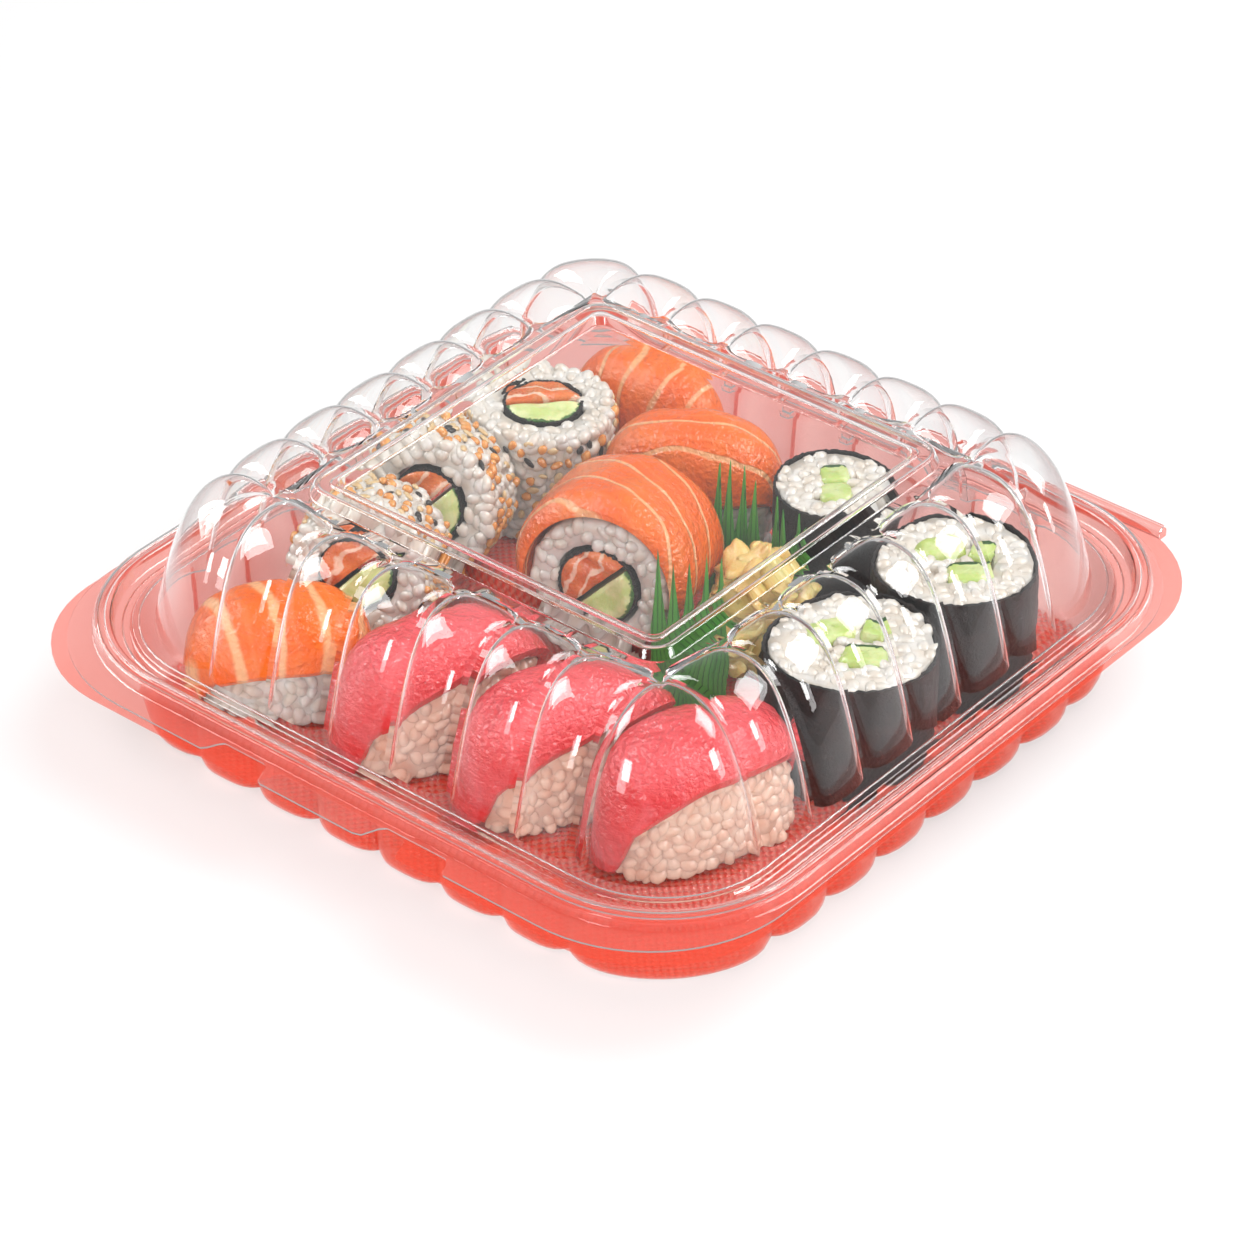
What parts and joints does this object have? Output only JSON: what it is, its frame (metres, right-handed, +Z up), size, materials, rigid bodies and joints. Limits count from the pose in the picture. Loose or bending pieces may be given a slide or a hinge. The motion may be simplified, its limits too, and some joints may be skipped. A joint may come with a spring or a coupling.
{
  "type": "takeaway sushi tray",
  "caption": "Square hinged takeaway tray with a red fluted base, a clear fluted lid and assorted sushi, ginger and leaf strips inside.",
  "frame": {"origin": "middle of the tray's flat underside, below the middle of the lid's window frame", "axes": "+X along the front edge to the right, +Y towards the hinge, +Z up"},
  "size_m": [0.214, 0.2215, 0.065],
  "materials": {
    "tray": "translucent coral red thermoformed sheet, glossy",
    "lid": "clear thermoformed sheet, glossy",
    "nori": "dark pressed seaweed, satin",
    "rice": "cooked white rice, moist",
    "salmon": "raw salmon, moist",
    "tuna": "raw tuna, moist",
    "cucumber": "cut cucumber, moist",
    "avocado": "cut avocado, satin",
    "leaf": "green strip, satin",
    "ginger": "pickled ginger, moist"
  },
  "bodies": {
    "tray": {"tray": "tray", "cucumber_roll_small_nori": "nori", "cucumber_roll_small_rice": "rice", "cucumber_roll_small_cucumber": "cucumber", "cucumber_roll_back_nori": "nori", "cucumber_roll_back_rice": "rice", "cucumber_roll_back_cucumber": "cucumber", "cucumber_roll_front_nori": "nori", "cucumber_roll_front_rice": "rice", "cucumber_roll_front_cucumber": "cucumber", "uramaki_back_rice": "rice", "uramaki_back_nori": "nori", "uramaki_back_salmon": "salmon", "uramaki_back_avocado": "avocado", "uramaki_middle_rice": "rice", "uramaki_middle_nori": "nori", "uramaki_middle_salmon": "salmon", "uramaki_middle_avocado": "avocado", "uramaki_left_rice": "rice", "uramaki_left_nori": "nori", "uramaki_left_salmon": "salmon", "uramaki_left_avocado": "avocado", "salmon_roll_rice": "rice", "salmon_roll_nori": "nori", "salmon_roll_salmon": "salmon", "salmon_roll_avocado": "avocado", "salmon_roll_slice": "salmon", "salmon_nigiri_corner_rice": "rice", "salmon_nigiri_corner_fish": "salmon", "salmon_nigiri_back_rice": "rice", "salmon_nigiri_back_fish": "salmon", "salmon_nigiri_left_rice": "rice", "salmon_nigiri_left_fish": "salmon", "tuna_nigiri_left_rice": "rice", "tuna_nigiri_left_fish": "tuna", "tuna_nigiri_middle_rice": "rice", "tuna_nigiri_middle_fish": "tuna", "tuna_nigiri_right_rice": "rice", "tuna_nigiri_right_fish": "tuna", "leaf_back": "leaf", "leaf_front": "leaf", "leaf_right": "leaf", "ginger": "ginger"},
    "lid": {"lid": "lid"}
  },
  "joints": [
    {"name": "lid_hinge", "type": "hinge", "parent": "tray", "child": "lid", "pos_m": [0, 0.1078, 0.0263], "axis": [-1, 0, 0], "range_deg": [0, 120]}
  ]
}
